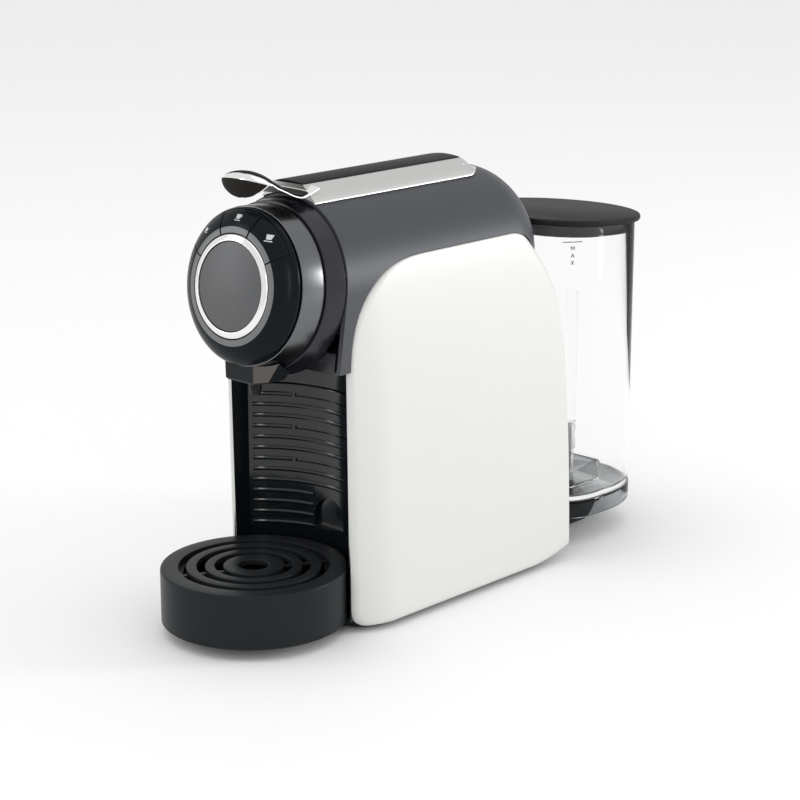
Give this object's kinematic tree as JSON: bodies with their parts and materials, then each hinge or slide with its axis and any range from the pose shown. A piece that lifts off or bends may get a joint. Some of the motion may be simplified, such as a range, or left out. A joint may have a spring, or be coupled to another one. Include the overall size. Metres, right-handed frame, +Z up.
{
  "type": "pod coffee machine",
  "caption": "Narrow pod coffee machine: round head with push buttons, lever on top, spout over a drip tray, pod bin behind it and a clear water tank at the back.",
  "frame": {"origin": "centre of the bounding box, on the surface the machine stands on", "axes": "+Z up, the machine faces -Y with its drip tray, +X is its left-hand side as the machine faces, the viewer's right"},
  "size_m": [0.122, 0.381, 0.268],
  "materials": {
    "black_plastic": "satin charcoal black",
    "rubber": "matt black",
    "steel": "brushed",
    "white_shell": "warm white, satin",
    "slate_paint": "dark slate metallic, satin",
    "gloss_black": "high gloss",
    "grey_plastic": "moulded, matt",
    "satin_band": "dark, satin",
    "chrome": "polished",
    "badge": "dark grey, brushed",
    "board": "green laminate",
    "silver": "satin silver",
    "aluminium": "cast",
    "clear": "clear plastic, polished",
    "smoke": "smoky clear plastic"
  },
  "bodies": {
    "machine": {"base_plate": "black_plastic", "foot_front_left": "rubber", "foot_front_right": "rubber", "foot_rear_left": "rubber", "foot_rear_right": "rubber", "foot_tray": "rubber", "foot_tank": "rubber", "base_screw_left": "steel", "base_screw_right": "steel", "side_panel_left": "white_shell", "side_panel_right": "white_shell", "hood": "slate_paint", "head_underside": "gloss_black", "rear_cover": "grey_plastic", "head_collar": "gloss_black", "head_band": "satin_band", "front_bezel": "gloss_black", "chrome_ring": "chrome", "badge_disc": "badge", "button_board": "board", "spout_shield": "black_plastic", "spout_nozzle": "black_plastic", "front_frame": "gloss_black", "lever_pin": "steel", "lever_knuckle": "black_plastic", "brew_rail_left": "grey_plastic", "brew_rail_right": "grey_plastic", "brew_block": "grey_plastic", "pod_chute": "black_plastic", "thermoblock": "aluminium", "thermoblock_seat": "grey_plastic", "bulkhead": "grey_plastic", "pump_mount": "rubber", "pump": "steel", "control_board": "board", "pump_hose": "rubber", "inlet_hose": "rubber", "outlet_tube": "rubber", "tank_support": "black_plastic", "tank_socket": "rubber", "cord_gland": "rubber"},
    "lever_arm": {"lever": "silver", "lever_inlay": "gloss_black"},
    "piston": {"brew_piston": "steel"},
    "button_left": {"brew_button_left": "gloss_black"},
    "button_centre": {"brew_button_centre": "gloss_black"},
    "button_right": {"brew_button_right": "gloss_black"},
    "drawer": {"drip_tray": "black_plastic", "bin_front": "gloss_black", "capsule_bin": "black_plastic"},
    "grille": {"drip_grille": "black_plastic"},
    "tank": {"water_tank": "clear", "tank_base": "smoke", "tank_valve": "grey_plastic"},
    "lid": {"tank_lid": "black_plastic", "lid_collar": "smoke"}
  },
  "joints": [
    {"name": "lever_hinge", "type": "hinge", "parent": "machine", "child": "lever_arm", "pos_m": [0, 0.027, 0.2526], "axis": [-1, 0, 0], "range_deg": [0, 70]},
    {"name": "piston_slide", "type": "slide", "parent": "machine", "child": "piston", "axis": [0, 1, 0], "range_m": [0, 0.016]},
    {"name": "left_button_press", "type": "slide", "parent": "machine", "child": "button_left", "axis": [0, 0.9898, -0.1426], "range_m": [0, 0.0015], "stiffness_N_per_m": 250, "springref_m": -0.0008},
    {"name": "centre_button_press", "type": "slide", "parent": "machine", "child": "button_centre", "axis": [0, 0.9898, -0.1426], "range_m": [0, 0.0015], "stiffness_N_per_m": 250, "springref_m": -0.0008},
    {"name": "right_button_press", "type": "slide", "parent": "machine", "child": "button_right", "axis": [0, 0.9898, -0.1426], "range_m": [0, 0.0015], "stiffness_N_per_m": 250, "springref_m": -0.0008},
    {"name": "drawer_pull", "type": "slide", "parent": "machine", "child": "drawer", "axis": [0, -1, 0], "range_m": [0, 0.12]},
    {"name": "grille_lift", "type": "slide", "parent": "drawer", "child": "grille", "axis": [0, 0, 1], "range_m": [0, 0.03]},
    {"name": "tank_lift", "type": "slide", "parent": "machine", "child": "tank", "axis": [0, 0, 1], "range_m": [0, 0.06]},
    {"name": "lid_lift", "type": "slide", "parent": "tank", "child": "lid", "axis": [0, 0, 1], "range_m": [0, 0.03]}
  ],
  "couplings": [
    {"joint": "piston_slide", "follows": "lever_hinge", "m_per_rad": 0.013096}
  ]
}
